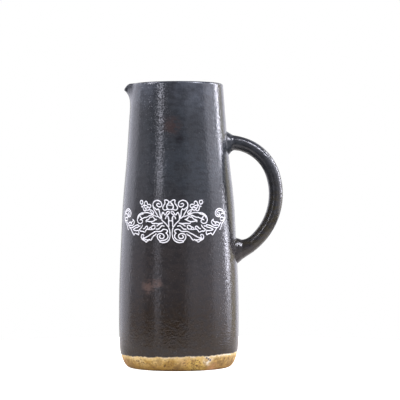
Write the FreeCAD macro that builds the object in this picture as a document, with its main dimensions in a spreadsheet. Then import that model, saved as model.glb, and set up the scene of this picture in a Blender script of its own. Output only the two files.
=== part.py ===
"""Stoneware jug: thrown wall with a pulled spout, a pulled handle on two pressed joints, and its glazes.

Frame: origin at the centre of the foot, +Z up, spout towards -X, handle towards +X. Millimetres.
"""
import FreeCAD, Part
import math
import os
import Sketcher

Vector = FreeCAD.Vector
doc = FreeCAD.newDocument("jug")

# Driving dimensions: lengths in millimetres, angles in degrees, shares and counts as plain numbers
SIZES = {
    # Outside of the thrown clay, bottom to top
    "foot_radius": 52.2,
    "foot_curve_depth": 10.9,
    "foot_curve_height": 27.0,
    "belly_radius": 63.5,
    "rim_height": 301.0,
    "rim_radius": 48.3,
    "neck_lean": 0.8,
    # Thickness of the clay
    "foot_wall": 5.8,
    "rim_wall": 4.4,
    "floor_thickness": 8.0,
    "floor_corner_radius": 14.0,
    # Hollow turned under the foot
    "foot_ring_width": 8.2,
    "recess_depth": 2.0,
    "recess_slope": 2.5,
    # Spout pulled out of the rim
    "spout_reach": 7.8,
    "spout_half_angle": 22.0,
    "spout_flare_height": 28.0,
    "spout_droop": 3.9,
    "spout_droop_half_angle": 11.5,
    # Glazes
    "outer_glaze_thickness": 0.5,
    "liner_glaze_thickness": 0.4,
    "glaze_line_height": 15.4,
    "glaze_line_rise": 1.1,
    # Handle: heights of its roots, its section, and the curve between the roots
    "handle_top_height": 239.3,
    "handle_bottom_height": 119.6,
    "handle_depth": 14.1,
    "handle_width": 18.5,
    "handle_bury": 4.0,
    "handle_shoulder_share": 0.688,
    "handle_bow_share": 0.402,
    "handle_shoulder_sweep": 11.2,
    "handle_end_heading": 161.4,
    "handle_glaze_thickness": 0.5,
    # Clay pressed round the handle's roots
    "joint_lap": 0.3,
    "joint_side_flare": 3.5,
    "upper_joint_length": 8.5,
    "upper_joint_flare": 6.2,
    "upper_joint_sag": 2.7,
    "lower_joint_length": 14.0,
    "lower_joint_flare": 5.6,
    "lower_joint_lift": 1.9,
}
# Outline of the wall from the belly to the rim: heights as shares of the rim's, and how much of the
# belly's width is left at each
WALL_HEIGHT_SHARES = (0.2, 0.332, 0.465, 0.581, 0.744, 0.87, 1.0)
WALL_WIDTH_SHARES = (1.0, 0.947, 0.822, 0.697, 0.382, 0.191, 0.0)
LEAN_HEIGHT_SHARES = (0.581, 0.87)
# Counts of the rings' points and of the rings in each stretch of wall
RING_HALF_POINTS = 18
RING_CROWDING = 1.7
SIDE_SHARE = 0.25
FOOT_RINGS = 7
LIP_RINGS = 8
FLARE_RINGS = 9
CORNER_RINGS = 5
JOINT_SECTION_SHARES = (-0.4, -0.2, 0.0, 0.2, 0.4, 0.7, 1.0)
OVAL_POINTS = 16

sheet = doc.addObject("Spreadsheet::Sheet", "sizes")
for row, (alias, value) in enumerate(SIZES.items(), start=1):
    sheet.set("A%d" % row, alias)
    sheet.set("B%d" % row, str(value))
    sheet.setAlias("B%d" % row, alias)
doc.recompute()


def size(alias):
    """The value of one cell of the sheet."""
    return float(sheet.get(alias))


def cell(alias):
    """The same cell as it is named in an expression."""
    return "<<sizes>>." + alias


# Thrown shape: radius of the clay's outside at each height
belly_swell = size("belly_radius") - size("rim_radius")
station_heights = [size("foot_curve_height")] + [size("rim_height") * share for share in WALL_HEIGHT_SHARES]
station_radii = [size("foot_radius") + size("foot_curve_depth")]
station_radii += [size("rim_radius") + belly_swell * share for share in WALL_WIDTH_SHARES]
profile = Part.BSplineCurve()
profile.interpolate(
    Points=[Vector(radius, 0, height) for height, radius in zip(station_heights, station_radii)],
    Parameters=station_heights,
)
lip_radius = size("rim_wall") / 2
lip_height = size("rim_height") - lip_radius
flare_bottom = lip_height - size("spout_flare_height")


def side_radius(height):
    """Outside radius of the thrown wall, carried straight down below the top of the foot's curve."""
    return profile.value(max(height, size("foot_curve_height"))).x


def outside_radius(height):
    """Outside radius of the clay, with the quarter ellipse of the foot."""
    drop = max(0.0, 1 - height / size("foot_curve_height"))
    return side_radius(height) - size("foot_curve_depth") * (1 - math.sqrt(1 - drop ** 2))


def wall_thickness(height):
    """The clay thins evenly from the foot to the rim."""
    return size("foot_wall") + (size("rim_wall") - size("foot_wall")) * height / size("rim_height")


def bump(angle, half_angle):
    """One at the spout's middle, falling smoothly to nothing at half_angle."""
    share = abs(angle) / math.radians(half_angle)
    return math.cos(math.pi / 2 * share) ** 2 if share < 1 else 0.0


def lean(height):
    """How far the neck stands over towards the spout."""
    low, high = (size("rim_height") * share for share in LEAN_HEIGHT_SHARES)
    share = min(1.0, max(0.0, (height - low) / (high - low)))
    return size("neck_lean") * share ** 2 * (3 - 2 * share)


# Rings: closed curves round the jug. Angles run from the handle round past the spout, where they crowd.
half_turn = [math.pi * (k / RING_HALF_POINTS) ** RING_CROWDING for k in range(RING_HALF_POINTS + 1)]
ring_angles = [-angle for angle in reversed(half_turn)] + half_turn[1:-1]
ring_parameters = [angle + math.pi for angle in ring_angles] + [2 * math.pi]


def ring(height, inset, lift=0.0, slope=0.0, pull=1.0):
    """A closed curve at a height on the wall, inset from its outside and lifted, with the spout's pull."""
    points = []
    for angle in ring_angles:
        level = height - slope * math.cos(angle)
        flare = pull * min(1.0, max(0.0, (level - flare_bottom) / size("spout_flare_height"))) ** 3
        reach = size("spout_reach") * flare * bump(angle, size("spout_half_angle"))
        droop = size("spout_droop") * flare * bump(angle, size("spout_droop_half_angle"))
        radius = outside_radius(level) - inset + reach
        points.append(
            Vector(-radius * math.cos(angle) - lean(level), -radius * math.sin(angle), level + lift - droop)
        )
    curve = Part.BSplineCurve()
    curve.interpolate(Points=points, PeriodicFlag=True, Parameters=ring_parameters)
    return curve


def lip_ring(turn, skin, pull=1.0):
    """A ring over the lip, grown by a skin: no turn is the lip's outside and half a turn its inside."""
    reach = lip_radius + skin
    return ring(lip_height, lip_radius - reach * math.cos(turn), lift=reach * math.sin(turn), pull=pull)


def spread(low, high, count):
    """Evenly spaced values between low and high, without either end."""
    return [low + (high - low) * k / (count + 1) for k in range(1, count + 1)]


def wall_levels():
    """Heights of the rings above the glaze line and below the lip."""
    belly, flank, _, shoulder, neck = station_heights[1:6]
    levels = station_heights + spread(belly, flank, 1) + spread(shoulder, neck, 1)
    clear_of_line = size("glaze_line_height") + 2 * size("glaze_line_rise")
    levels = sorted(level for level in levels if clear_of_line < level < flare_bottom)
    return levels + [flare_bottom] + spread(flare_bottom, lip_height, FLARE_RINGS)


def outside_rings(skin, pull=1.0):
    """The rings up the outside from the foot to below the lip, and the marks among them."""
    line = size("glaze_line_height")
    rings = [ring(line * (k / FOOT_RINGS) ** 2, -skin) for k in range(FOOT_RINGS)]
    marks = {"foot": 0, "glaze_line": len(rings)}
    rings.append(ring(line, -skin, slope=size("glaze_line_rise")))
    rings += [ring(level, -skin, pull=pull) for level in wall_levels()]
    return rings, marks


def wall_rings(outer_skin, liner_skin):
    """All rings of the wall, up the outside, over the lip and down to the floor, and the marks among them."""
    rings, marks = outside_rings(outer_skin)
    marks["lip_outside"] = len(rings)
    for k in range(LIP_RINGS + 1):
        skin = outer_skin + (liner_skin - outer_skin) * k / LIP_RINGS
        rings.append(lip_ring(math.pi * k / LIP_RINGS, skin))
    marks["lip_top"] = marks["lip_outside"] + LIP_RINGS // 2
    marks["lip_inside"] = len(rings) - 1
    corner = size("floor_corner_radius")
    corner_height = size("floor_thickness") + liner_skin + corner
    for level in reversed(wall_levels()):
        if level > corner_height:
            rings.append(ring(level, wall_thickness(level) + liner_skin))
    corner_inset = wall_thickness(corner_height) + liner_skin
    for k in range(CORNER_RINGS + 1):
        turn = math.pi / 2 * k / CORNER_RINGS
        level = corner_height - corner * math.sin(turn)
        inset = corner_inset + corner * (1 - math.cos(turn)) + outside_radius(level) - side_radius(level)
        rings.append(ring(level, inset))
    marks["floor"] = len(rings) - 1
    return rings, marks


class Skin:
    """One smooth surface through closed curves with shared parameters, cut into faces between its marks."""

    def __init__(self, rings, marks):
        self.rings, self.marks = rings, marks
        side = rings[0].LastParameter * SIDE_SHARE
        self.travel = [0.0]
        for low, high in zip(rings[:-1], rings[1:]):
            self.travel.append(self.travel[-1] + low.value(side).distanceToPoint(high.value(side)))
        pole_rows = []
        for poles in zip(*[curve.getPoles() for curve in rings]):
            row_curve = Part.BSplineCurve()
            row_curve.interpolate(Points=list(poles), Parameters=self.travel)
            pole_rows.append(row_curve)
        around, along = rings[0], pole_rows[0]
        self.surface = Part.BSplineSurface()
        self.surface.buildFromPolesMultsKnots(
            [row_curve.getPoles() for row_curve in pole_rows],
            around.getMultiplicities(),
            along.getMultiplicities(),
            around.getKnots(),
            along.getKnots(),
            True,
            False,
            around.Degree,
            along.Degree,
        )

    def band(self, low_mark, high_mark):
        """The face between two marks."""
        piece = self.surface.copy()
        low, high = (self.travel[self.marks[mark]] for mark in (low_mark, high_mark))
        piece.segment(*self.surface.bounds()[:2], low, high)
        return piece.toShape()

    def edge(self, mark):
        """The ring at a mark."""
        return self.rings[self.marks[mark]].toShape()

    def disc(self, mark):
        """The flat face inside a level ring."""
        return Part.Face(Part.Wire([self.edge(mark)]))


def closed_solid(faces):
    """One solid from faces that meet edge to edge."""
    shell = Part.Shell(faces)
    shell.sewShape()
    solid = Part.Solid(shell)
    if solid.Volume < 0:
        solid.reverse()
    return solid


def form(name, shape):
    """A document object that holds a free-form shape."""
    holder = doc.addObject("Part::Feature", name)
    holder.Shape = shape
    return holder


clay = Skin(*wall_rings(0.0, 0.0))
coat = Skin(*wall_rings(size("outer_glaze_thickness"), size("liner_glaze_thickness")))
thrown_clay = form("thrown_clay", closed_solid([
    clay.disc("foot"),
    clay.band("foot", "lip_outside"),
    clay.band("lip_outside", "lip_inside"),
    clay.band("lip_inside", "floor"),
    clay.disc("floor"),
]))
outer_coat = form("outer_coat", closed_solid([
    clay.band("glaze_line", "lip_outside"),
    clay.band("lip_outside", "lip_top"),
    Part.makeRuledSurface(clay.edge("lip_top"), coat.edge("lip_top")),
    coat.band("lip_outside", "lip_top"),
    coat.band("glaze_line", "lip_outside"),
    Part.makeRuledSurface(clay.edge("glaze_line"), coat.edge("glaze_line")),
]))
liner_glaze = form("liner_glaze", closed_solid([
    clay.band("lip_top", "lip_inside"),
    clay.band("lip_inside", "floor"),
    clay.disc("floor"),
    coat.disc("floor"),
    coat.band("lip_inside", "floor"),
    coat.band("lip_top", "lip_inside"),
    Part.makeRuledSurface(clay.edge("lip_top"), coat.edge("lip_top")),
]))


def filled_wall(name, skin):
    """The wall's outside without its spout, grown by a skin and filled to its axis up to the lip's top.

    It trims what is joined on to the wall.
    """
    rings, marks = outside_rings(skin, pull=0.0)
    marks["lip_outside"] = len(rings)
    rings += [lip_ring(math.pi * k / LIP_RINGS, skin, pull=0.0) for k in range(LIP_RINGS // 2 + 1)]
    marks["lip_top"] = len(rings) - 1
    wall = Skin(rings, marks)
    return form(name, closed_solid([
        wall.disc("foot"),
        wall.band("foot", "glaze_line"),
        wall.band("glaze_line", "lip_outside"),
        wall.band("lip_outside", "lip_top"),
        wall.disc("lip_top"),
    ]))


clay_block = filled_wall("clay_block", 0.0)
coat_block = filled_wall("coat_block", size("outer_glaze_thickness"))


def wall_reach(height):
    """How far the clay's outside stands from the foot's axis on the handle's side."""
    return outside_radius(height) - lean(height)


# Hollow under the foot
recess = doc.addObject("Part::Cone", "foot_recess")
recess_radius = cell("foot_radius") + " - " + cell("foot_ring_width")
recess.setExpression("Radius1", recess_radius)
recess.setExpression("Radius2", recess_radius + " - " + cell("recess_slope"))
recess.setExpression("Height", cell("recess_depth"))


# Handle: three arcs in the upright plane through the axis, the last one sized to reach the lower root
def heading_arc(centre, radius, start, end):
    """An arc that runs clockwise from one heading to another, both measured clockwise from +X."""
    circle = Part.Circle(centre, Vector(0, 0, 1), radius)
    return Part.ArcOfCircle(circle, math.pi / 2 - end, math.pi / 2 - start)


def toward(heading):
    """Unit vector from an arc's centre to its point with this heading, in the sketch."""
    return Vector(math.sin(heading), math.cos(heading), 0)


def buried_root(height):
    """Where the handle's middle line ends inside the wall, in the sketch."""
    return Vector(wall_reach(height) - size("handle_bury"), height, 0)


root_span = size("handle_top_height") - size("handle_bottom_height")
top_root = buried_root(size("handle_top_height"))
bottom_root = buried_root(size("handle_bottom_height"))


def spine_arcs():
    """The three arcs of the handle's middle line."""
    shoulder_radius = root_span * size("handle_shoulder_share")
    bow_radius = root_span * size("handle_bow_share")
    first_turn = math.radians(size("handle_shoulder_sweep"))
    last_heading = math.radians(size("handle_end_heading"))
    shoulder_centre = top_root - toward(0.0) * shoulder_radius
    bow_centre = shoulder_centre + toward(first_turn) * (shoulder_radius - bow_radius)
    gap = bottom_root - bow_centre
    tail_radius = (bow_radius ** 2 - gap.dot(gap)) / (2 * (bow_radius - toward(last_heading).dot(gap)))
    tail_centre = bottom_root - toward(last_heading) * tail_radius
    offset = (bow_centre - tail_centre) * (1 if tail_radius > bow_radius else -1)
    second_turn = math.atan2(offset.x, offset.y)
    return [
        heading_arc(shoulder_centre, shoulder_radius, 0.0, first_turn),
        heading_arc(bow_centre, bow_radius, first_turn, second_turn),
        heading_arc(tail_centre, tail_radius, second_turn, last_heading),
    ]


def new_sketch(body, name, role):
    """An empty sketch on one of the body's own origin planes."""
    sketch = body.newObject("Sketcher::SketchObject", name)
    plane = next(item for item in body.Origin.OriginFeatures if item.Role == role)
    sketch.AttachmentSupport = (plane, "")
    sketch.MapMode = "FlatFace"
    return sketch


def bind(sketch, expression, *constraint):
    """Add a constraint and tie its value to the sheet."""
    index = sketch.addConstraint(Sketcher.Constraint(*constraint))
    sketch.setExpression("Constraints[%d]" % index, expression)


def spine_sketch(body):
    """The handle's middle line, from the upper root round to the lower one."""
    sketch = new_sketch(body, body.Name + "_spine", "XZ_Plane")
    arcs = spine_arcs()
    shoulder, bow, tail = (sketch.addGeometry(arc) for arc in arcs)
    spoke = sketch.addGeometry(Part.LineSegment(arcs[2].Center, arcs[2].StartPoint), True)
    origin, upright, first, second, middle = -1, -2, 1, 2, 3
    sketch.addConstraint([
        Sketcher.Constraint("Tangent", shoulder, first, bow, second),
        Sketcher.Constraint("Tangent", bow, first, tail, second),
        Sketcher.Constraint("Coincident", spoke, first, tail, middle),
        Sketcher.Constraint("Coincident", spoke, second, tail, first),
        Sketcher.Constraint("Vertical", shoulder, middle, shoulder, second),
        Sketcher.Constraint("DistanceX", origin, first, shoulder, second, top_root.x),
        Sketcher.Constraint("DistanceX", origin, first, tail, first, bottom_root.x),
    ])
    span = "(" + cell("handle_top_height") + " - " + cell("handle_bottom_height") + ") * "
    bind(sketch, cell("handle_top_height"), "DistanceY", origin, first, shoulder, second, top_root.y)
    bind(sketch, cell("handle_bottom_height"), "DistanceY", origin, first, tail, first, bottom_root.y)
    bind(sketch, span + cell("handle_shoulder_share"), "Radius", shoulder, arcs[0].Radius)
    bind(sketch, span + cell("handle_bow_share"), "Radius", bow, arcs[1].Radius)
    sweep, heading = (math.radians(size(name)) for name in ("handle_shoulder_sweep", "handle_end_heading"))
    bind(sketch, cell("handle_shoulder_sweep") + " * 1 deg", "Angle", shoulder, sweep)
    bind(sketch, "-1 deg * " + cell("handle_end_heading"), "Angle", upright, first, spoke, first, -heading)
    return sketch


def thickness(skin):
    """The thickness of a named skin, or nothing where there is none."""
    return size(skin) if skin else 0.0


def section_sketch(body, skin):
    """The handle's oval section at its upper root, wider across than it is deep."""
    sketch = new_sketch(body, body.Name + "_section", "YZ_Plane")
    half_width = size("handle_width") / 2 + thickness(skin)
    half_depth = size("handle_depth") / 2 + thickness(skin)
    middle = Vector(0, top_root.y, 0)
    across, upward = middle + Vector(half_width, 0, 0), middle + Vector(0, half_depth, 0)
    oval = sketch.addGeometry(Part.Ellipse(across, upward, middle))
    sketch.exposeInternalGeometry(oval)
    width_line, depth_line = oval + 1, oval + 2
    origin, upright, first, middle = -1, -2, 1, 3
    sketch.addConstraint([
        Sketcher.Constraint("Horizontal", width_line),
        Sketcher.Constraint("PointOnObject", oval, middle, upright),
    ])
    bind(sketch, cell("handle_top_height"), "DistanceY", origin, first, oval, middle, top_root.y)
    grown = " + 2 * " + cell(skin) if skin else ""
    bind(sketch, cell("handle_width") + grown, "Distance", width_line, 2 * half_width)
    bind(sketch, cell("handle_depth") + grown, "Distance", depth_line, 2 * half_depth)
    sketch.AttachmentOffset = FreeCAD.Placement(Vector(0, 0, top_root.x), FreeCAD.Rotation())
    return sketch


def handle_body(name, skin=None):
    """The handle's loop, its section grown by a named skin, with both ends buried in the wall."""
    body = doc.addObject("PartDesign::Body", name)
    spine = spine_sketch(body)
    section = section_sketch(body, skin)
    doc.recompute()
    pipe = body.newObject("PartDesign::AdditivePipe", name + "_pipe")
    pipe.Profile = section
    pipe.Spine = (spine, ["Edge1", "Edge2", "Edge3"])
    body.Tip = pipe
    return body


# Joints: clay that flares from the handle's section on to the wall
def oval_ring(centre, half_width, half_depth):
    """An upright oval across +X."""
    turns = [2 * math.pi * k / OVAL_POINTS for k in range(OVAL_POINTS + 1)]
    points = [Vector(0, half_width * math.cos(turn), half_depth * math.sin(turn)) for turn in turns[:-1]]
    curve = Part.BSplineCurve()
    curve.interpolate(Points=[centre + point for point in points], PeriodicFlag=True, Parameters=turns)
    return curve


def joint_form(name, root, arc, side, rise, skin=None):
    """The pressed clay at one root, grown by a named skin.

    Its ovals are centred on the handle's arc there, which lies above (1) or below (-1) the arc's own
    centre, and towards the wall they widen and rise. The inner end is buried in the wall.
    """
    length = size(root + "_joint_length") + thickness(skin)
    lap = size("joint_lap") + thickness(skin)
    wall = wall_reach(arc.Center.y + side * arc.Radius)
    rings = []
    for share in JOINT_SECTION_SHARES:
        spread_out = (1 - share) ** 2
        reach = wall + length * share
        above = math.sqrt(arc.Radius ** 2 - (reach - arc.Center.x) ** 2)
        half_width = size("handle_width") / 2 + lap + size("joint_side_flare") * spread_out
        half_depth = size("handle_depth") / 2 * arc.Radius / above + lap
        half_depth += size(root + "_joint_flare") * spread_out
        centre = Vector(reach, 0, arc.Center.y + side * above + rise * spread_out)
        rings.append(oval_ring(centre, half_width, half_depth))
    surface = Skin(rings, {"inner_end": 0, "outer_end": len(rings) - 1})
    return form(name, closed_solid([
        surface.disc("inner_end"),
        surface.band("inner_end", "outer_end"),
        surface.disc("outer_end"),
    ]))


# Booleans keep the faces as they come, because joining split free-form faces moves them a little
def cut(name, base, *tools):
    """The base with each tool taken out of it in turn."""
    for count, tool in enumerate(tools, start=1):
        piece = doc.addObject("Part::Cut", name if count == len(tools) else "%s_cut_%d" % (name, count))
        piece.Base, piece.Tool = base, tool
        piece.Refine = False
        base = piece
    return base


def fuse(name, *shapes):
    """The shapes as one."""
    whole = doc.addObject("Part::MultiFuse", name)
    whole.Shapes = list(shapes)
    whole.Refine = False
    return whole


upper_arc, _, lower_arc = spine_arcs()
upper_root = ("upper", upper_arc, 1, -size("upper_joint_sag"))
lower_root = ("lower", lower_arc, -1, size("lower_joint_lift"))
handle_loop = handle_body("handle_loop")
upper_form = joint_form("upper_form", *upper_root)
lower_form = joint_form("lower_form", *lower_root)
glazed_loop = handle_body("glazed_loop", "handle_glaze_thickness")
glazed_upper = joint_form("glazed_upper", *upper_root, "handle_glaze_thickness")
glazed_lower = joint_form("glazed_lower", *lower_root, "handle_glaze_thickness")
doc.recompute()

joined_clay = fuse("joined_clay", handle_loop, upper_form, lower_form)
joined_coat = fuse("joined_coat", glazed_loop, glazed_upper, glazed_lower)
nodes = [
    cut("clay_body", thrown_clay, recess),
    cut("handle", handle_loop, clay_block),
    cut("upper_joint", upper_form, clay_block, handle_loop),
    cut("lower_joint", lower_form, clay_block, handle_loop),
    cut("outer_glaze", outer_coat, joined_clay),
    liner_glaze,
    cut("handle_glaze", joined_coat, joined_clay, coat_block),
]
doc.recompute()

for item in doc.Objects:
    if {"Invalid", "Error"} & set(item.State):
        raise RuntimeError("%s failed: %s" % (item.Name, item.State))
os.makedirs("parts", exist_ok=True)
for node in nodes:
    node.Label = node.Name
    if node.Shape.isNull() or not node.Shape.isValid():
        raise RuntimeError(node.Label + " has no valid shape")
    node.Shape.exportStep("parts/%s.step" % node.Label)
    print(node.Label, len(node.Shape.Solids), round(node.Shape.Volume), node.Shape.BoundBox)
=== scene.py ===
"""Glazed stoneware jug with a pulled spout, a looped handle and a white scroll ornament."""
import bisect
import math

import bmesh
import bpy
import numpy as np
from mathutils import Matrix, Vector, noise


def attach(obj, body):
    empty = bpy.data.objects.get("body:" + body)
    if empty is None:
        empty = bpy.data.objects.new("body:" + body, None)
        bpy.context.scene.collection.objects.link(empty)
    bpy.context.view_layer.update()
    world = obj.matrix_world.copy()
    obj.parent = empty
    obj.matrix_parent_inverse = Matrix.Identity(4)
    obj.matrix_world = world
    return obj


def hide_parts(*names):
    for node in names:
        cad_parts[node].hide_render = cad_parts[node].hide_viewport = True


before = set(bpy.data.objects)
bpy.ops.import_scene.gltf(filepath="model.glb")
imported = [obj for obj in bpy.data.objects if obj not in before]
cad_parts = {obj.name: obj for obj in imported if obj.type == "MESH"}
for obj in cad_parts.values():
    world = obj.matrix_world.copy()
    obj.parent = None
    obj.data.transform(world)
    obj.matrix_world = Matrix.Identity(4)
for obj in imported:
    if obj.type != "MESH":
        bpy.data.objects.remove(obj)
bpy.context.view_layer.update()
MM = 0.001

# Outside of the thrown clay, bottom to top
FOOT_RADIUS = 52.2 * MM
FOOT_CURVE_DEPTH = 10.9 * MM
FOOT_CURVE_HEIGHT = 27.0 * MM
BELLY_RADIUS = 63.5 * MM
RIM_HEIGHT = 301.0 * MM
RIM_RADIUS = 48.3 * MM
NECK_LEAN = 0.8 * MM
WALL_HEIGHT_SHARES = (0.2, 0.332, 0.465, 0.581, 0.744, 0.87, 1.0)
WALL_WIDTH_SHARES = (1.0, 0.947, 0.822, 0.697, 0.382, 0.191, 0.0)
LEAN_HEIGHT_SHARES = (0.581, 0.87)
# Thickness of the clay, the floor's corner and the hollow under the foot
FOOT_WALL = 5.8 * MM
RIM_WALL = 4.4 * MM
FLOOR_THICKNESS = 8.0 * MM
FLOOR_CORNER = 14.0 * MM
RECESS_RADIUS = 44.0 * MM
RECESS_DEPTH = 2.0 * MM
RECESS_SLOPE = 2.5 * MM
FOOT_EDGE_ROUND = 0.5 * MM
# Spout
SPOUT_REACH = 7.8 * MM
SPOUT_HALF_ANGLE = math.radians(22.0)
SPOUT_FLARE_HEIGHT = 28.0 * MM
SPOUT_FLARE_POWER = 3
SPOUT_DROOP = 3.9 * MM
SPOUT_DROOP_HALF_ANGLE = math.radians(11.5)
# Glazes
GLAZE = 0.5 * MM
LINER = 0.4 * MM
GLAZE_LINE = 15.4 * MM
GLAZE_LINE_RISE = 1.1 * MM
GLAZE_ROLL_SHARE = 1.6
# Handle and the clay pressed round its roots, with a soft collar and a crease
HANDLE_TOP = 239.3 * MM
HANDLE_BOTTOM = 119.6 * MM
HANDLE_DEPTH = 14.1 * MM
HANDLE_WIDTH = 18.5 * MM
HANDLE_BURY = 4.0 * MM
HANDLE_SHOULDER_SHARE = 0.688
HANDLE_BOW_SHARE = 0.402
HANDLE_SHOULDER_SWEEP = math.radians(11.2)
HANDLE_END_HEADING = math.radians(161.4)
HANDLE_WANDER = 0.25 * MM
HANDLE_WANDER_PITCH = 26.0 * MM
HANDLE_WANDER_START = (4, 2)
JOINT_LAP = 0.3 * MM
JOINT_SIDE_FLARE = 3.5 * MM
JOINT_FADE_SHARE = 0.8
JOINT_TILT_SHARE = 0.5
UPPER_JOINT = {"length": 8.5 * MM, "flare": 6.2 * MM, "rise": -2.7 * MM}
LOWER_JOINT = {"length": 14.0 * MM, "flare": 5.6 * MM, "rise": 1.9 * MM}
COLLAR_SWELL = 0.3 * MM
COLLAR_REACH = 2.8 * MM
COLLAR_HALF_WIDTH = 3.0 * MM
CREASE_DEPTH = 0.12 * MM
CREASE_REACH = 6.2 * MM
CREASE_HALF_WIDTH = 2.2 * MM
# How much thinner than its solid the handle is drawn, to stay within the box of the solids
HANDLE_EASE = 0.02 * MM
# How finely the surfaces are drawn
AROUND = 320
WALL_ROWS = 225
WALL_STEP = 8.0 * MM
FLARE_STEP = 2.5 * MM
LINER_STEP = 1.6 * MM
BACK_ROW_SKIP = 8
FLARE_BACK_ROW_SKIP = 2
ROLL_STEPS = 5
LIP_STEPS = 9
FOOT_CURVE_STEPS = 30
FOOT_RING_STEPS = 6
RECESS_STEP = 1.5 * MM
RECESS_SLOPE_STEPS = 5
HANDLE_STEP = 0.6 * MM
HANDLE_SIDES = 56


# Shapes
def smooth_curve(knots, values):
    """A function through the values, with no break in its slope or its bend."""
    steps = [high - low for low, high in zip(knots, knots[1:])]
    climbs = [(high - low) / step for low, high, step in zip(values, values[1:], steps)]
    last = len(knots) - 1
    table, right = np.zeros((last + 1, last + 1)), np.zeros(last + 1)
    table[0, 0] = table[last, last] = 1
    right[0] = climbs[0] + (climbs[0] - climbs[1]) * steps[0] / (steps[0] + steps[1])
    right[last] = climbs[-1] + (climbs[-1] - climbs[-2]) * steps[-1] / (steps[-1] + steps[-2])
    for k in range(1, last):
        table[k, k - 1:k + 2] = steps[k], 2 * (steps[k - 1] + steps[k]), steps[k - 1]
        right[k] = 3 * (steps[k] * climbs[k - 1] + steps[k - 1] * climbs[k])
    slopes = [float(slope) for slope in np.linalg.solve(table, right)]

    def value(place):
        k = min(max(bisect.bisect_right(knots, place) - 1, 0), last - 1)
        step, share = steps[k], (place - knots[k]) / steps[k]
        rise = share * share * (3 - 2 * share)
        start_pull = share * (1 - share) ** 2 * step * slopes[k]
        end_pull = share * share * (share - 1) * step * slopes[k + 1]
        return values[k] + (values[k + 1] - values[k]) * rise + start_pull + end_pull

    return value


def clamp(value):
    return min(1.0, max(0.0, value))


def ease(value):
    """Zero to one with soft ends."""
    share = clamp(value)
    return share * share * (3 - 2 * share)


def bump(offset, reach):
    """One where the offset is nothing, falling smoothly to nothing at this reach to either side."""
    share = abs(offset) / reach
    return math.cos(math.pi / 2 * share) ** 2 if share < 1 else 0.0


outline = smooth_curve(
    [FOOT_CURVE_HEIGHT] + [RIM_HEIGHT * share for share in WALL_HEIGHT_SHARES],
    [FOOT_RADIUS + FOOT_CURVE_DEPTH]
    + [RIM_RADIUS + (BELLY_RADIUS - RIM_RADIUS) * share for share in WALL_WIDTH_SHARES],
)
LIP_RADIUS = RIM_WALL / 2
LIP_HEIGHT = RIM_HEIGHT - LIP_RADIUS
FLARE_BOTTOM = LIP_HEIGHT - SPOUT_FLARE_HEIGHT


def outside_radius(height):
    """Outside radius of the clay, with the quarter ellipse of the foot."""
    drop = clamp(1 - height / FOOT_CURVE_HEIGHT)
    return outline(max(height, FOOT_CURVE_HEIGHT)) - FOOT_CURVE_DEPTH * (1 - math.sqrt(1 - drop * drop))


def wall_thickness(height):
    return FOOT_WALL + (RIM_WALL - FOOT_WALL) * height / RIM_HEIGHT


def lean(height):
    """How far the neck stands over towards the spout."""
    low, high = (RIM_HEIGHT * share for share in LEAN_HEIGHT_SHARES)
    return NECK_LEAN * ease((height - low) / (high - low))


def turned_point(radius, angle, height):
    """A point round the jug's axis. Angles run from the spout at zero to the handle, both ways."""
    return Vector((-radius * math.cos(angle), -radius * math.sin(angle), height))


def wall_point(height, angle, inset=0.0, lift=0.0):
    """A point on the outside of the clay, or this far inside it and this far above it."""
    flare = clamp((height - FLARE_BOTTOM) / SPOUT_FLARE_HEIGHT) ** SPOUT_FLARE_POWER
    reach = droop = 0.0
    if flare:
        reach = SPOUT_REACH * flare * bump(angle, SPOUT_HALF_ANGLE)
        droop = SPOUT_DROOP * flare * bump(angle, SPOUT_DROOP_HALF_ANGLE)
    radius = outside_radius(height) - inset + reach
    return turned_point(radius, angle, height + lift - droop) - Vector((lean(height), 0, 0))


# Marks of the hand in the clay and the glaze. A noise here is how much it changes round the jug, its
# pitch up the jug and where it starts.
WOBBLE = 0.1 * MM
WOBBLE_NOISE = (1.1, 55.0 * MM, (0, 0, 0))
RIDGE = 0.035 * MM
RIDGE_PITCH = 6.4 * MM
RIDGE_SHIFT = 2.5
RIDGE_SHIFT_NOISE = (0.6, 20.0 * MM, (0, 0, 0))
RIDGE_STRENGTH_NOISE = (1.3, 34.0 * MM, (7, 3, 5))
CALM_BELOW_LIP = 14.0 * MM
CALM_BELOW = 110.0 * MM
INNER_RIDGE = 0.22 * MM
INNER_RIDGE_PITCH = 9.0 * MM
INNER_RIDGE_FADE_SHARE = 0.4
INNER_RIDGE_NOISE = (1.3, 40.0 * MM, (0, 0, 0))
FLOOR_RIDGE = 0.35 * MM
FLOOR_RIDGE_PITCH = 7.5 * MM
FOOT_PIT = 0.3 * MM
FOOT_PIT_LEVEL = 0.15
FOOT_PIT_NOISE = (13, 4.5 * MM, (0, 0, 0))
FOOT_GROOVE = 0.05 * MM
FOOT_GROOVE_PITCH = 1.9 * MM
FOOT_GROOVE_SHIFT = 3
FOOT_GROOVE_NOISE = (2, 9.0 * MM, (0, 0, 0))
FOOT_CALM = 2.0 * MM
ROUGH_UNDER_GLAZE = 4.0 * MM
RECESS_GROOVE = 0.12 * MM
RECESS_GROOVE_PITCH = 3.3 * MM
GLAZE_FRINGE = 1.2 * MM
CLAY_HALO = 5.0 * MM
# The ragged edge of the outer glaze: how far each of its noises moves it, and that noise
EDGE_NOISES = (
    (0.6 * MM, (3.1, 1, (2, 9, 1))),
    (0.5 * MM, (9, 1, (5, 1, 3))),
    (0.75 * MM, (26, 1, (0, 0, 0))),
)


def turned_noise(kind, height, angle):
    """Noise that goes round the jug without a seam."""
    stretch, pitch, start = kind
    around = Vector((math.cos(angle) * stretch, math.sin(angle) * stretch, height / pitch))
    return noise.noise(around + Vector(start))


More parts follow.
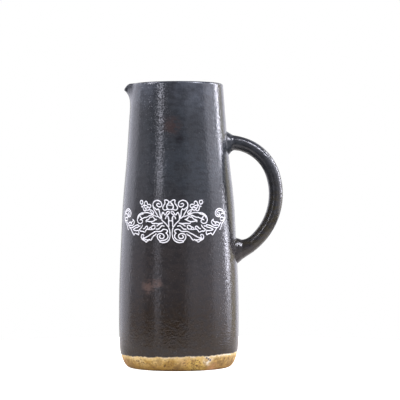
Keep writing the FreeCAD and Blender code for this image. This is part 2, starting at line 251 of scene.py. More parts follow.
def outside_dent(height, angle):
    """How far the outside lies inside its ideal surface: slow wobble and faint throwing lines."""
    calm = ease((LIP_HEIGHT - height) / CALM_BELOW_LIP)
    wobble = WOBBLE * (1 + turned_noise(WOBBLE_NOISE, height, angle))
    shift = angle + RIDGE_SHIFT * turned_noise(RIDGE_SHIFT_NOISE, height, angle)
    wave = math.sin(2 * math.pi * height / RIDGE_PITCH + shift)
    strength = 0.5 + 0.5 * turned_noise(RIDGE_STRENGTH_NOISE, height, angle)
    strength *= ease(height / CALM_BELOW)
    return calm * (wobble + RIDGE * strength * (1 + wave))


def inside_swell(height, angle):
    """How far the inside stands into the hollow: the finger ridges of throwing."""
    calm = ease((LIP_HEIGHT - height) / CALM_BELOW_LIP)
    wave = math.sin(2 * math.pi * height / INNER_RIDGE_PITCH + angle)
    strength = 1 - INNER_RIDGE_FADE_SHARE * (1 - turned_noise(INNER_RIDGE_NOISE, height, angle))
    return calm * INNER_RIDGE * strength * (1 + wave) / 2


def foot_dent(height, angle):
    """Fine turned grooves and small hollows in the bare clay."""
    shift = FOOT_GROOVE_SHIFT * turned_noise(FOOT_GROOVE_NOISE, height, angle)
    groove = 0.5 + 0.5 * math.sin(2 * math.pi * height / FOOT_GROOVE_PITCH + shift)
    pits = clamp(turned_noise(FOOT_PIT_NOISE, height, angle) - FOOT_PIT_LEVEL)
    return FOOT_GROOVE * groove + FOOT_PIT * pits


def glaze_edge(angle):
    """Height of the outer glaze's ragged lower edge."""
    ragged = sum(size * turned_noise(kind, 0.0, angle) for size, kind in EDGE_NOISES)
    return GLAZE_LINE - GLAZE_LINE_RISE * math.cos(angle) + ragged


def mark_edge(piece):
    """Store on each vertex how near it is to the glaze's ragged edge, from nothing to one."""
    marks = piece.data.attributes.new("edge", "FLOAT", "POINT")
    for number, vertex in enumerate(piece.data.vertices):
        place = vertex.co
        below = glaze_edge(math.atan2(-place.y, -place.x)) - place.z
        marks.data[number].value = clamp(1 - abs(below) / (CLAY_HALO if below > 0 else GLAZE_FRINGE))


def glazed_point(height, angle, lift=0.0):
    """A point on the outer glaze, or this far off it."""
    return wall_point(height, angle, inset=outside_dent(height, angle) - GLAZE - lift)


# Meshes
def new_object(name, mesh_data, material):
    mesh_data.materials.append(material)
    mesh_data.polygons.foreach_set("use_smooth", [True] * len(mesh_data.polygons))
    piece = bpy.data.objects.new(name, mesh_data)
    bpy.context.scene.collection.objects.link(piece)
    return piece


def finished_form(name, form, material):
    """The object made from a finished bmesh form, its faces turned outwards."""
    bmesh.ops.recalc_face_normals(form, faces=form.faces)
    mesh_data = bpy.data.meshes.new(name)
    form.to_mesh(mesh_data)
    form.free()
    return new_object(name, mesh_data, material)


def skin(name, rows, material, wrapped=False):
    """A closed mesh through rings of points. A ring of one point is a pole.

    Wrapped joins the last ring to the first.
    """
    form = bmesh.new()
    rings = [[form.verts.new(point) for point in row] for row in rows]
    pairs = list(zip(rings, rings[1:]))
    if wrapped:
        pairs.append((rings[-1], rings[0]))
    for low, high in pairs:
        count = max(len(low), len(high))
        for k in range(count if count > 1 else 0):
            corners = [low[k % len(low)], low[(k + 1) % len(low)]]
            corners += [high[(k + 1) % len(high)], high[k % len(high)]]
            form.faces.new(list(dict.fromkeys(corners)))
    return finished_form(name, form, material)


ANGLES = [2 * math.pi * k / AROUND for k in range(AROUND)]
ANGLES = [angle if angle <= math.pi else angle - 2 * math.pi for angle in ANGLES]


def ring(place):
    return [place(angle) for angle in ANGLES]


def level_ring(radius, height):
    return ring(lambda angle: turned_point(radius, angle, height))


def levels(low, high, step):
    """Heights from low to just under high, closer together where the spout flares."""
    heights = []
    for start, end, part in ((low, FLARE_BOTTOM, step), (FLARE_BOTTOM, high, min(step, FLARE_STEP))):
        count = round((end - start) / part)
        heights += [start + (end - start) * k / count for k in range(count)]
    return heights


def lip_ring(turn, skin_depth):
    """A ring over the lip: no turn is the outside, half a turn the inside."""
    reach = LIP_RADIUS + skin_depth
    inset, lift = LIP_RADIUS - reach * math.cos(turn), reach * math.sin(turn)
    return ring(lambda angle: wall_point(LIP_HEIGHT, angle, inset=inset, lift=lift))


def lip_glaze(turn):
    """The glaze's thickness over the lip, from the outer coat's to the liner's."""
    return GLAZE + (LINER - GLAZE) * turn / math.pi


def floor_point(radius, angle, height, ridge_share):
    """A point on the floor inside, with the spiral that the fingers leave."""
    wave = 0.5 + 0.5 * math.sin(2 * math.pi * radius / FLOOR_RIDGE_PITCH + angle)
    lift = ridge_share * FLOOR_RIDGE * wave * ease(radius / FLOOR_RIDGE_PITCH)
    return turned_point(radius, angle, height + lift)


def inner_rings(skin_depth, step, ridge_share):
    """Rings down the inside from below the lip, round the corner and over the floor to its middle."""
    corner_height = FLOOR_THICKNESS + skin_depth + FLOOR_CORNER
    rings = []
    for height in reversed(levels(corner_height, LIP_HEIGHT, step)):
        depth = wall_thickness(height) + skin_depth
        rings.append(ring(
            lambda angle: wall_point(height, angle, inset=depth + ridge_share * inside_swell(height, angle))
        ))
    corner_radius = outside_radius(corner_height) - wall_thickness(corner_height) - skin_depth
    steps = round(FLOOR_CORNER * math.pi / 2 / step)
    for k in range(1, steps + 1):
        turn = math.pi / 2 * k / steps
        radius = corner_radius - FLOOR_CORNER * (1 - math.cos(turn))
        height = corner_height - FLOOR_CORNER * math.sin(turn)
        rings.append(ring(lambda angle: floor_point(radius, angle, height, ridge_share * math.cos(turn))))
    flat = corner_radius - FLOOR_CORNER
    height = FLOOR_THICKNESS + skin_depth
    steps = round(flat / step)
    for k in range(1, steps):
        radius = flat * (1 - k / steps)
        rings.append(ring(lambda angle: floor_point(radius, angle, height, ridge_share)))
    rings.append([Vector((0, 0, height))])
    return rings


def glazed_wall(material):
    """The outer glaze, from its rolled ragged edge to the top of the lip, its back against the clay."""
    roll = GLAZE_ROLL_SHARE * GLAZE
    rows = []
    for k in range(ROLL_STEPS):
        turn = math.pi / 2 * k / ROLL_STEPS
        depth, climb = GLAZE * math.sin(turn), roll * (1 - math.cos(turn))
        rows.append(ring(
            lambda angle: glazed_point(glaze_edge(angle) + climb, angle, lift=depth - GLAZE)
        ))
    heights = []
    for k in range(WALL_ROWS):
        share = k / WALL_ROWS
        heights.append([
            (glaze_edge(angle) + roll) * (1 - share) + LIP_HEIGHT * share for angle in ANGLES
        ])
        rows.append([glazed_point(height, angle) for height, angle in zip(heights[-1], ANGLES)])
    turns = [math.pi / 2 * k / LIP_STEPS for k in range(LIP_STEPS + 1)]
    rows += [lip_ring(turn, lip_glaze(turn)) for turn in turns]
    rows += [lip_ring(turn, 0.0) for turn in reversed(turns)]
    flare_row = round(WALL_ROWS * FLARE_BOTTOM / LIP_HEIGHT)
    back = heights[:flare_row:BACK_ROW_SKIP] + heights[flare_row::FLARE_BACK_ROW_SKIP]
    for level in reversed(back):
        rows.append([glazed_point(height, angle, lift=-GLAZE) for height, angle in zip(level, ANGLES)])
    piece = skin("glazed_wall", rows, material, wrapped=True)
    mark_edge(piece)
    return piece


def glazed_liner(material):
    """The inner glaze, from the top of the lip to the middle of the floor, its back against the clay."""
    turns = [math.pi / 2 + math.pi / 2 * k / LIP_STEPS for k in range(LIP_STEPS + 1)]
    rows = [lip_ring(turn, lip_glaze(turn)) for turn in turns]
    rows += inner_rings(LINER, LINER_STEP, 1.0)
    rows += reversed(inner_rings(0.0, WALL_STEP, 0.0))
    rows += [lip_ring(turn, 0.0) for turn in reversed(turns)]
    return skin("glazed_liner", rows, material, wrapped=True)


def clay_pot(material):
    """The thrown clay: the hollow under the foot, the outside, and the inside down to the floor."""
    recess_floor = RECESS_RADIUS - RECESS_SLOPE
    rows = [[Vector((0, 0, RECESS_DEPTH))]]
    steps = round(recess_floor / RECESS_STEP)
    for k in range(1, steps):
        radius = recess_floor * k / steps
        groove = RECESS_GROOVE * (1 + math.sin(2 * math.pi * radius / RECESS_GROOVE_PITCH))
        rows.append(level_ring(radius, RECESS_DEPTH - groove * ease(radius / (2 * RECESS_GROOVE_PITCH))))
    for k in range(RECESS_SLOPE_STEPS + 1):
        share = k / RECESS_SLOPE_STEPS
        rows.append(level_ring(recess_floor + RECESS_SLOPE * share, RECESS_DEPTH * (1 - share)))
    foot_start = RECESS_RADIUS + FOOT_EDGE_ROUND
    for k in range(1, FOOT_RING_STEPS):
        rows.append(level_ring(foot_start + (FOOT_RADIUS - foot_start) * k / FOOT_RING_STEPS, 0.0))
    heights = []
    for k in range(FOOT_CURVE_STEPS + 1):
        heights.append(FOOT_CURVE_HEIGHT * (1 - math.cos(math.pi / 2 * k / FOOT_CURVE_STEPS)))
    heights = [height for height in heights if height < GLAZE_LINE + ROUGH_UNDER_GLAZE]
    for height in heights:
        calm = ease(height / FOOT_CALM)
        rows.append(ring(lambda angle: wall_point(height, angle, inset=calm * foot_dent(height, angle))))
    for height in levels(heights[-1], LIP_HEIGHT, WALL_STEP)[1:]:
        rows.append(ring(lambda angle: wall_point(height, angle, inset=outside_dent(height, angle))))
    rows += [lip_ring(math.pi * k / LIP_STEPS, 0.0) for k in range(LIP_STEPS + 1)]
    rows += inner_rings(0.0, WALL_STEP, 0.0)
    piece = skin("clay_pot", rows, material)
    mark_edge(piece)
    return piece


# Handle
def toward(heading):
    """Unit vector with this heading, clockwise from straight up, in the upright plane of the handle."""
    return Vector((math.sin(heading), 0, math.cos(heading)))


def wall_reach(height):
    return outside_radius(height) - lean(height)


def spine_points():
    """Points of the handle's middle line with their outward directions, from the upper root down."""
    span = HANDLE_TOP - HANDLE_BOTTOM
    top_root = Vector((wall_reach(HANDLE_TOP) - HANDLE_BURY, 0, HANDLE_TOP))
    bottom_root = Vector((wall_reach(HANDLE_BOTTOM) - HANDLE_BURY, 0, HANDLE_BOTTOM))
    shoulder_radius, bow_radius = span * HANDLE_SHOULDER_SHARE, span * HANDLE_BOW_SHARE
    shoulder_centre = top_root - toward(0.0) * shoulder_radius
    bow_centre = shoulder_centre + toward(HANDLE_SHOULDER_SWEEP) * (shoulder_radius - bow_radius)
    gap = bottom_root - bow_centre
    shortfall = bow_radius - toward(HANDLE_END_HEADING).dot(gap)
    tail_radius = (bow_radius ** 2 - gap.dot(gap)) / (2 * shortfall)
    tail_centre = bottom_root - toward(HANDLE_END_HEADING) * tail_radius
    offset = (bow_centre - tail_centre) * (1 if tail_radius > bow_radius else -1)
    second_turn = math.atan2(offset.x, offset.z)
    arcs = [
        (shoulder_centre, shoulder_radius, 0.0, HANDLE_SHOULDER_SWEEP),
        (bow_centre, bow_radius, HANDLE_SHOULDER_SWEEP, second_turn),
        (tail_centre, tail_radius, second_turn, HANDLE_END_HEADING),
    ]
    points = []
    for centre, radius, start, end in arcs:
        steps = max(2, round(radius * (end - start) / HANDLE_STEP))
        for k in range(steps):
            heading = start + (end - start) * k / steps
            points.append((centre + toward(heading) * radius, toward(heading)))
    points.append((bottom_root, toward(HANDLE_END_HEADING)))
    return points


def root_swell(reach):
    """How much thicker the handle is at this distance from the wall: the collar, less the crease."""
    collar = COLLAR_SWELL * bump(reach - COLLAR_REACH, COLLAR_HALF_WIDTH)
    return collar - CREASE_DEPTH * bump(reach - CREASE_REACH, CREASE_HALF_WIDTH)


def glazed_handle(material):
    """The glazed handle in one skin, flaring on to the wall at both roots, its ends buried in the clay."""
    roots = [
        (UPPER_JOINT, wall_reach(HANDLE_TOP), 1),
        (LOWER_JOINT, wall_reach(HANDLE_BOTTOM), -1),
    ]
    middle = (HANDLE_TOP + HANDLE_BOTTOM) / 2
    rows = []
    travel = 0.0
    spine = spine_points()
    for number, (centre, outward) in enumerate(spine):
        if number:
            travel += (centre - spine[number - 1][0]).length
        joint, wall, side = roots[0] if centre.z > middle else roots[1]
        share = (centre.x - wall) / (joint["length"] + GLAZE)
        spread = (1 - share) ** 2 if share < 1 else 0.0
        upright = 1 - ease((share - 1) / JOINT_FADE_SHARE)
        swell = root_swell(centre.x - wall)
        half_width = HANDLE_WIDTH / 2 + GLAZE + JOINT_LAP * upright + JOINT_SIDE_FLARE * spread + swell
        half_depth = HANDLE_DEPTH / 2 + GLAZE - HANDLE_EASE + swell
        rise = half_depth / max(abs(outward.z), JOINT_TILT_SHARE) + JOINT_LAP + joint["flare"] * spread
        depth = outward * half_depth * (1 - upright) + Vector((0, 0, side * rise)) * upright
        middle_point = centre + Vector((0, 0, joint["rise"] * spread))
        wander = noise.noise(Vector((travel / HANDLE_WANDER_PITCH, *HANDLE_WANDER_START)))
        half_width -= HANDLE_WANDER * abs(wander)
        points = []
        for k in range(HANDLE_SIDES):
            turn = 2 * math.pi * k / HANDLE_SIDES
            across = Vector((0, half_width * math.cos(turn), 0))
            points.append(middle_point + across + depth * math.sin(turn))
        rows.append(points)
    rows = [[spine[0][0]]] + rows + [[spine[-1][0]]]
    return skin("glazed_handle", rows, material)


# Ornament: strokes of its right half, in millimetres right of its middle and above the foot.
# A mirror in its slightly tilted axis makes the left half.
ORNAMENT_TILT_SHARE = -0.045
ORNAMENT_FOOT = 150.0 * MM
ORNAMENT_SEAM = 3.0 * MM
ORNAMENT_ANGLE = math.radians(83.17)
ORNAMENT_RADIUS = 60.6 * MM
STROKE_WIDTH = 1.25 * MM
STROKE_HEIGHT = 0.24 * MM
STROKE_SINK = 0.34 * MM
STROKE_STEP = 0.45 * MM
STROKE_SIDES = 8
STROKE_END_SHARE = 0.12
STROKE_WAVER_SHARE = 0.12
STROKE_WAVER_PITCH = 2.5 * MM
STROKE_WAVER_GAP = 3.7
STROKES = (
    # Middle tulip
    ((1.2, 176.6), (2.6, 177.6), (4.3, 177.3), (4.2, 175.6), (4.3, 174), (5.7, 172.2), (6.9, 170.2),
     (6.8, 168.5), (5.4, 167.2), (3.6, 167.4), (2.3, 168.4), (2.7, 170.4), (2.3, 172.2), (1.2, 174.2),
     (0.6, 175.4), (1.2, 176.6)),
    ((0, 167.6), (1.4, 167.9), (2.6, 168.6)),
    ((0, 175.4), (0.6, 175.4)),
    ((0, 172.2), (1.6, 172.2)),
    ((0.5, 164.6), (1.3, 165.9), (2.6, 165.3), (3.8, 163.4), (5.2, 161.8)),
    ((5.2, 161.8), (6.2, 163.6), (7.2, 164.8), (8.2, 163.2), (8.9, 161.2), (9.0, 159.2), (8.9, 157.9)),
    ((0.5, 164.6), (1.6, 163.2), (2.6, 162.2), (3.6, 160.9), (4.6, 159.4), (5.1, 157.7)),
    # Stems
    ((3.2, 160.9), (2.0, 160.2), (1.8, 158.4), (1.7, 156.5), (2.0, 154.0), (2.0, 151.5), (2.4, 149.4)),
    ((0, 156.1), (1.8, 156)),
    ((2.4, 149.4), (3.6, 151.0), (4.8, 152.8), (6.6, 154.6), (8.3, 156.2), (9.3, 157.8)),
    # Upper volute
    ((13.2, 160.9), (14.0, 163.0), (15.2, 165.0), (16.4, 167.0), (17.3, 169.3), (17.9, 172.0),
     (17.5, 174.4), (15.8, 176.3), (13.0, 177.2), (10.2, 176.6), (8.4, 174.9), (7.9, 172.8),
     (8.8, 171.1), (10.6, 170.4), (12.4, 171.0), (13.5, 172.5), (12.8, 173.8), (11.3, 173.9),
     (10.1, 173.2)),
    ((17.4, 170.5), (15.8, 169.2), (14.2, 167.9), (13.2, 167.2)),
    ((13.2, 167.2), (12.4, 168.4), (11.6, 167.8), (11.1, 166.2), (10.7, 164), (10.4, 162), (9.9, 160),
     (9.4, 158.2)),
    ((9.4, 158.2), (11.2, 159.3), (13.0, 160.6), (14.6, 160.5), (16.4, 161.4)),
    # Tilted tulip with its bud
    ((32.5, 177.3), (34.1, 176.4), (34.1, 174.4), (32.5, 173.5), (30.9, 174.4), (30.9, 176.4),
     (32.5, 177.3)),
    ((32.3, 173.4), (31.8, 171.9)),
    ((30.3, 170.9), (33, 170.7)),
    ((30.8, 170.8), (30.4, 169.2), (29.8, 167.6), (28.8, 166.3), (27.2, 166.6), (26, 167.4),
     (24.5, 166.9), (23, 167.8), (22.2, 169.2), (21, 170.2), (20.4, 171.3), (20.8, 172.6),
     (22.3, 173.1), (24, 173), (25, 173.4)),
    ((25, 173.4), (24.9, 175), (25.8, 176.2), (27.3, 175.9), (28.4, 174.6), (28.8, 173), (29.6, 172.2),
     (30.4, 171.2)),
    ((22.2, 169.6), (23.6, 170.4), (25, 171.4), (26.5, 171.9), (28.3, 172.2), (28.6, 171),
     (27.9, 169.5), (27, 168.4), (26.2, 167.4)),
    ((23.8, 170.5), (25.0, 169.6), (26.4, 169.3), (27.6, 169.2)),
    ((22.6, 167.6), (20.8, 167.3), (19, 166.6), (17.8, 165.2), (17.3, 163.8)),
    ((22.2, 166.4), (20.8, 165.6), (20, 164.6), (19.2, 163.6)),
    # Scrolled arm
    ((17.2, 164.3), (19, 163.4), (21.5, 163.8), (24, 164.5), (27, 164.6), (30, 164.2), (33, 164.1),
     (35.6, 163.0), (37.7, 161.3), (38.9, 159.0), (39.2, 156.8), (38.4, 154.6), (36.6, 153.4),
     (34.4, 153.3), (32.5, 154.3), (31.9, 155.9), (32.9, 157.2), (34.6, 157.4), (35.6, 156.4)),
    ((16.4, 161.4), (19, 162.2), (22, 161.7), (24.6, 160.6), (26.8, 159.6), (29.2, 159.5),
     (31.0, 158.6), (33.0, 158.5), (34.0, 159.8), (35.2, 160.9)),
    ((29.8, 163.8), (31.6, 163.0), (33.6, 162.6), (35.6, 161.6), (37.2, 160.0), (38.0, 158.2)),
    # Leaves
    ((14.2, 157.4), (15.6, 157.5), (17.2, 158.4), (18.6, 160.3), (20.4, 159.9), (22.2, 159.9),
     (23.2, 158.5), (24.6, 157.5), (26.2, 157.1), (27.3, 156.1), (27.1, 154.5)),
    ((15.6, 157.4), (17.2, 156.5), (19.0, 155.6), (21.0, 155.2), (23.5, 155.3), (25.6, 155.8),
     (26.9, 155.6)),
    ((8.0, 153.9), (10.0, 153.4), (13.0, 153.2), (16.0, 153.4), (18.8, 153.3), (20.4, 153.8),
     (20.7, 155.1)),
    ((9.2, 153.4), (11.0, 152.9), (12.8, 152.0), (14.4, 150.9), (15.2, 150.3)),
    ((17.2, 151.4), (17.1, 149.4), (17.8, 148.0), (19.4, 147.4), (21.0, 147.8), (21.6, 149.0),
     (20.8, 150.3), (19.2, 151.2), (17.2, 151.4)),
    ((6.4, 150.4), (7.8, 150.8), (9.4, 151.0), (10.8, 149.9), (12.0, 148.5), (13.4, 147.5),
     (15.2, 147.4), (16.4, 147.5)),
    ((19.6, 147.3), (22.0, 147.1), (24.4, 147.2), (26.6, 147.4), (28.2, 146.2), (29.1, 144.9),
     (29.9, 144.0)),
    ((29.9, 144.0), (31.2, 144.9), (33.2, 145.3), (35.0, 145.2), (36.2, 146.2), (36.6, 147.2)),
    ((21.5, 149.4), (22.8, 149.3), (23.8, 148.3), (24.4, 147.4)),
    ((26.4, 148.0), (25.5, 149.3), (26.4, 150.5), (27.8, 150.1), (28.9, 148.9), (30.2, 148.0),
     (31.8, 147.7)),
    ((32.2, 152.0), (32.7, 150.6), (33.6, 149.3), (34.9, 148.2), (36.2, 147.3), (37.6, 146.4)),
    # Leafy branch
    ((35.0, 151.2), (36.6, 150.3), (38.2, 151.7), (40.6, 151.5), (43.2, 150.7), (45.6, 149.7),
     (48.0, 148.9), (50.6, 148.6), (53.2, 148.9)),
    ((37.6, 150.8), (38.8, 149.4), (41.0, 149.0), (43.4, 148.3), (45.4, 147.3), (46.6, 147.0)),
    ((46.6, 147.0), (44.4, 146.2), (41.6, 145.8), (38.8, 145.9), (37.6, 146.3)),
    ((38.0, 145.7), (37.5, 143.6), (38.3, 141.0)),
    ((38.3, 141.0), (39.6, 142.2), (41.6, 142.7), (43.6, 143.2)),
    ((43.6, 143.2), (44.4, 142.0), (45.1, 140.9)),
    ((45.1, 140.9), (46.6, 142.7), (48.2, 144.7), (49.8, 146.6), (51.0, 148.3)),
    # End scroll
    ((47.4, 157.8), (45.6, 156.6), (44.3, 155.0), (45.0, 152.9), (47.2, 151.3), (49.6, 151.1),
     (52.2, 151.5), (54.0, 151.0)),
    ((46.0, 156.4), (47.6, 155.2), (49.2, 154.4), (51.4, 154.6), (53.6, 154.0), (55.4, 153.2),
     (57.0, 153.4)),
    ((48.6, 154.3), (49.6, 152.7), (50.4, 154.3)),
    ((54.6, 147.0), (56.4, 146.8)),
    ((56.4, 146.8), (57.0, 148.8), (58.0, 151.0), (59.4, 153.0), (61.4, 154.6), (63.2, 156.6),
     (64.3, 159.0), (64.5, 161.6), (63.7, 164.2), (62.0, 166.4), (59.4, 167.9), (56.2, 168.5),
     (53.2, 167.9), (51.0, 166.5), (49.9, 164.4), (50.1, 162.2), (51.6, 160.6), (53.8, 160.0),
     (56.0, 160.5), (57.6, 161.6)),
    ((53.4, 149.2), (54.8, 151.2), (56.4, 153.0), (58.2, 154.8)),
    ((57, 156.6), (56.9, 158.6), (58.2, 159.6), (60.4, 159.3), (62.6, 158.6), (62.8, 156.9),
     (61, 156.2), (59, 155.9), (57, 156.6)),
    ((62.6, 162.0), (62.2, 164.2), (60.4, 165.9), (57.6, 166.5), (54.8, 166.4), (52.6, 165.2),
     (52.0, 163.4), (53.0, 161.9), (54.8, 161.7), (56.2, 162.8), (55.2, 164.2), (53.9, 163.8)),
    ((57.4, 161.4), (58.6, 163.0), (60.6, 163.5), (62.4, 163.2)),
    # Bottom volute
    ((2.4, 149.4), (1.7, 146.8), (1.3, 144.0), (1.3, 141.4), (1.9, 138.8), (3.2, 136.6), (5.0, 134.8),
     (7.4, 133.8), (10.2, 133.7), (12.6, 134.3), (13.2, 135.6), (14.6, 137.2), (15.3, 139.3),
     (15.0, 141.2), (13.8, 142.3), (11.8, 142.9), (9.9, 142.7), (8.4, 141.7), (7.9, 140.0),
     (8.6, 138.4), (10.2, 137.7), (12.0, 138.1), (13.0, 139.5), (12.2, 140.8), (11.4, 141.3)),
    ((5.9, 143.6), (4.6, 142.6), (3.9, 141.2), (3.8, 139.6), (4.6, 138.2), (6.0, 136.8), (8, 136),
     (10.4, 135.7), (12.6, 135.5)),
    ((5.8, 143.5), (4.3, 144.4), (4.0, 146.2), (5.6, 147.1), (7.8, 147.3), (9.4, 146.3), (10.8, 145.3),
     (13.4, 145.0), (16.2, 145.2), (18.0, 144.6), (20, 143.4), (22.5, 142.2), (24.5, 141),
     (26.5, 139.9), (28.6, 138.9), (30.2, 138.3), (31.6, 138.6), (32, 139.9)),
    ((15.9, 142.9), (17.6, 141.4), (19.4, 140.4), (20.8, 138.6), (22.2, 136.7), (23.6, 135.7)),
    ((23.6, 135.7), (24.6, 137.2)),
    ((24.6, 137.2), (25.6, 135.9), (27.2, 135.0), (28.5, 133.6)),
    ((28.5, 133.6), (29.6, 134.9), (31.4, 135.8), (33.2, 136.8), (34.4, 138.4), (34.4, 140.2),
     (33.4, 141.6), (31.8, 141.8), (31.1, 140.8), (31.9, 140.0)),
    ((25.6, 136.4), (27.6, 136.2), (29.6, 136.9), (31.6, 137.2), (33.0, 138.0)),
)


def drawn_line(points):
    """Evenly spaced points, in metres, on a smooth line through the given ones."""
    corners = [Vector(point) * MM for point in points]
    before, after = 2 * corners[0] - corners[1], 2 * corners[-1] - corners[-2]
    if corners[0] == corners[-1]:
        before, after = corners[-2], corners[1]
    padded = [before] + corners + [after]
    line = []
    for first, start, end, last in zip(padded, padded[1:], padded[2:], padded[3:]):
        steps = max(1, round((end - start).length / STROKE_STEP))
        for k in range(steps):
            share = k / steps
            line.append((
                2 * start + (end - first) * share
                + (2 * first - 5 * start + 4 * end - last) * share ** 2
                + (3 * start - 3 * end + last - first) * share ** 3
            ) / 2)
    line.append(corners[-1])
    return line


def print_point(place, mirror, lift):
    """The point on the jug for a place on the ornament, this far off the glaze."""
    axis = ORNAMENT_TILT_SHARE * (place.y - ORNAMENT_FOOT)
    across = axis + mirror * (place.x - axis * ease(place.x / ORNAMENT_SEAM))
    return glazed_point(place.y, ORNAMENT_ANGLE + across / ORNAMENT_RADIUS, lift)


def stroke_rings(points, mirror, number):
    """Rings round one raised stroke with round ends, wrapped on to the jug's glaze."""
    line = drawn_line(points)
    travel = [0.0]
    for start, end in zip(line, line[1:]):
        travel.append(travel[-1] + (end - start).length)
    rings = []
    for k, middle in enumerate(line):
        ahead = line[min(k + 1, len(line) - 1)] - line[max(k - 1, 0)]
        side = Vector((-ahead.y, ahead.x)).normalized()
        uneven = noise.noise(Vector((travel[k] / STROKE_WAVER_PITCH, number * STROKE_WAVER_GAP, mirror)))
        half = STROKE_WIDTH / 2 * (1 + STROKE_WAVER_SHARE * uneven)
        end_share = min(travel[k], travel[-1] - travel[k]) / half
        round_off = math.sqrt(max(STROKE_END_SHARE, 1 - (1 - min(1, end_share)) ** 2))
        row = []
        for n in range(STROKE_SIDES):
            turn = 2 * math.pi * n / STROKE_SIDES
            place = middle + side * half * round_off * math.cos(turn)
            thick = (STROKE_HEIGHT + STROKE_SINK) / 2 * math.sin(turn) * round_off
            row.append(print_point(place, mirror, thick + (STROKE_HEIGHT - STROKE_SINK) / 2))
        rings.append(row)
    return rings


def scroll_ornament(material):
    """All strokes, both halves, as one mesh of closed strokes."""
    form = bmesh.new()
    for mirror in (-1, 1):
        for number, points in enumerate(STROKES):
            rows = stroke_rings(points, mirror, number)
            rings = [[form.verts.new(point) for point in row] for row in rows]
            for low, high in zip(rings, rings[1:]):
                for k in range(STROKE_SIDES):
                    following = (k + 1) % STROKE_SIDES
                    form.faces.new((low[k], low[following], high[following], high[k]))
            form.faces.new(rings[0])
            form.faces.new(rings[-1])
    return finished_form("scroll_ornament", form, material)


# Shader nodes
def link(tree, value, socket):
    """Set a socket to a number, place or colour, or wire it to another."""
    if isinstance(value, bpy.types.NodeSocket):
        tree.links.new(value, socket)
    elif socket.type == "RGBA":
        socket.default_value = (*value, 1)
    else:
        socket.default_value = value


def new_node(tree, kind, inputs, **settings):
    """A node of this kind with these settings, and each of these inputs set or wired."""
    node = tree.nodes.new("ShaderNode" + kind)
    for name, value in settings.items():
        setattr(node, name, value)
    for name, value in inputs.items():
        link(tree, value, node.inputs[name])
    return node


def soft_map(tree, value, span, strengths):
    """The value stretched from one span to another, with soft ends."""
    ends = {"From Min": span[0], "From Max": span[1], "To Min": strengths[0], "To Max": strengths[1]}
    node = new_node(tree, "MapRange", {"Value": value, **ends}, interpolation_type="SMOOTHSTEP")
    return node.outputs["Result"]


# Materials
IOR = 1.5
SPOT_CORE_SHARE = 0.2
EVEN = (1, 1, 1)


class Paint:
    """A material being made. Its colour and its relief are laid on in coats."""

    def __init__(self, name, color, roughness):
        self.material = bpy.data.materials.new(name)
        self.material.use_nodes = True
        self.tree = self.material.node_tree
        self.shader = self.tree.nodes["Principled BSDF"]
        self.shader.inputs["Roughness"].default_value = roughness
        self.shader.inputs["IOR"].default_value = IOR
        self.place = self.node("TexCoord", {}).outputs["Object"]
        self.color = color
        self.normal = None

    def node(self, kind, inputs, **settings):
        return new_node(self.tree, kind, inputs, **settings)

    def axis(self, name):
        """One coordinate of the place on the jug, in metres."""
        return self.node("SeparateXYZ", {"Vector": self.place}).outputs[name]

    def mark(self, name):
        """A value that the mesh holds at its vertices."""
        return self.node("Attribute", {}, attribute_name=name).outputs["Fac"]

    def remap(self, value, span, strengths=(0.0, 1.0)):
        return soft_map(self.tree, value, span, strengths)

    def plus(self, first, second):
        return self.node("Math", {0: first, 1: second}, operation="ADD").outputs["Value"]

    def times(self, first, second):
        return self.node("Math", {0: first, 1: second}, operation="MULTIPLY").outputs["Value"]

    def noise(self, grain, detail, stretch=EVEN):
        """Noise with grains of this size in metres, stretched along the axes."""
        scale = [1 / (grain * part) for part in stretch]
        place = self.node("Mapping", {"Vector": self.place, "Scale": scale}).outputs["Vector"]
        return self.node("TexNoise", {"Vector": place, "Scale": 1.0, "Detail": detail}).outputs["Fac"]

    def patches(self, grain, detail, stretch, span, strengths=(0.0, 1.0)):
        """Soft patches made from a span of this noise, between two strengths."""
        return self.remap(self.noise(grain, detail, stretch), span, strengths)

    def spot(self, centre, size):
        """One near a place, falling to nothing at this distance."""
        away = self.node("VectorMath", {0: self.place, 1: centre}, operation="DISTANCE")
        return self.remap(away.outputs["Value"], (size, size * SPOT_CORE_SHARE))

    def coat(self, share, color):
        """Cover the colour so far with this one, as much as the share says."""
        inputs = {"Factor": share, "A": self.color, "B": color}
        self.color = self.node("Mix", inputs, data_type="RGBA").outputs["Result"]

    def coat_spots(self, spots, patches):
        """Lay each spot's colour on where the patches let it through."""
        for centre, size, color in spots:
            self.coat(self.times(self.spot(centre, size), patches), color)

    def relief(self, height, depth):
        """Add relief of this depth in metres to the relief so far."""
        inputs = {"Distance": depth, "Height": height}
        if self.normal:
            inputs["Normal"] = self.normal
        self.normal = self.node("Bump", inputs).outputs["Normal"]

    def finish(self, roughness=None):
        link(self.tree, self.color, self.shader.inputs["Base Color"])
        link(self.tree, self.normal, self.shader.inputs["Normal"])
        if roughness:
            link(self.tree, roughness, self.shader.inputs["Roughness"])
        return self.material


# Colours of the glaze
CHARCOAL = (0.030, 0.028, 0.030)
SLATE = (0.031, 0.037, 0.044)
# Dark mottles and lines in the glaze, also used as painted shade on the handle
SOOT_AND_SHADE = (0.014, 0.014, 0.017)
UMBER = (0.029, 0.024, 0.023)
PEAT = (0.017, 0.009, 0.003)
SMUDGE = (0.042, 0.030, 0.030)
OLIVE = (0.034, 0.029, 0.018)
TEAL = (0.036, 0.045, 0.056)
BLOOM = (0.070, 0.081, 0.100)
RUST = (0.086, 0.058, 0.050)
HAZE = (0.070, 0.068, 0.070)
CREAM = (0.520, 0.470, 0.380)
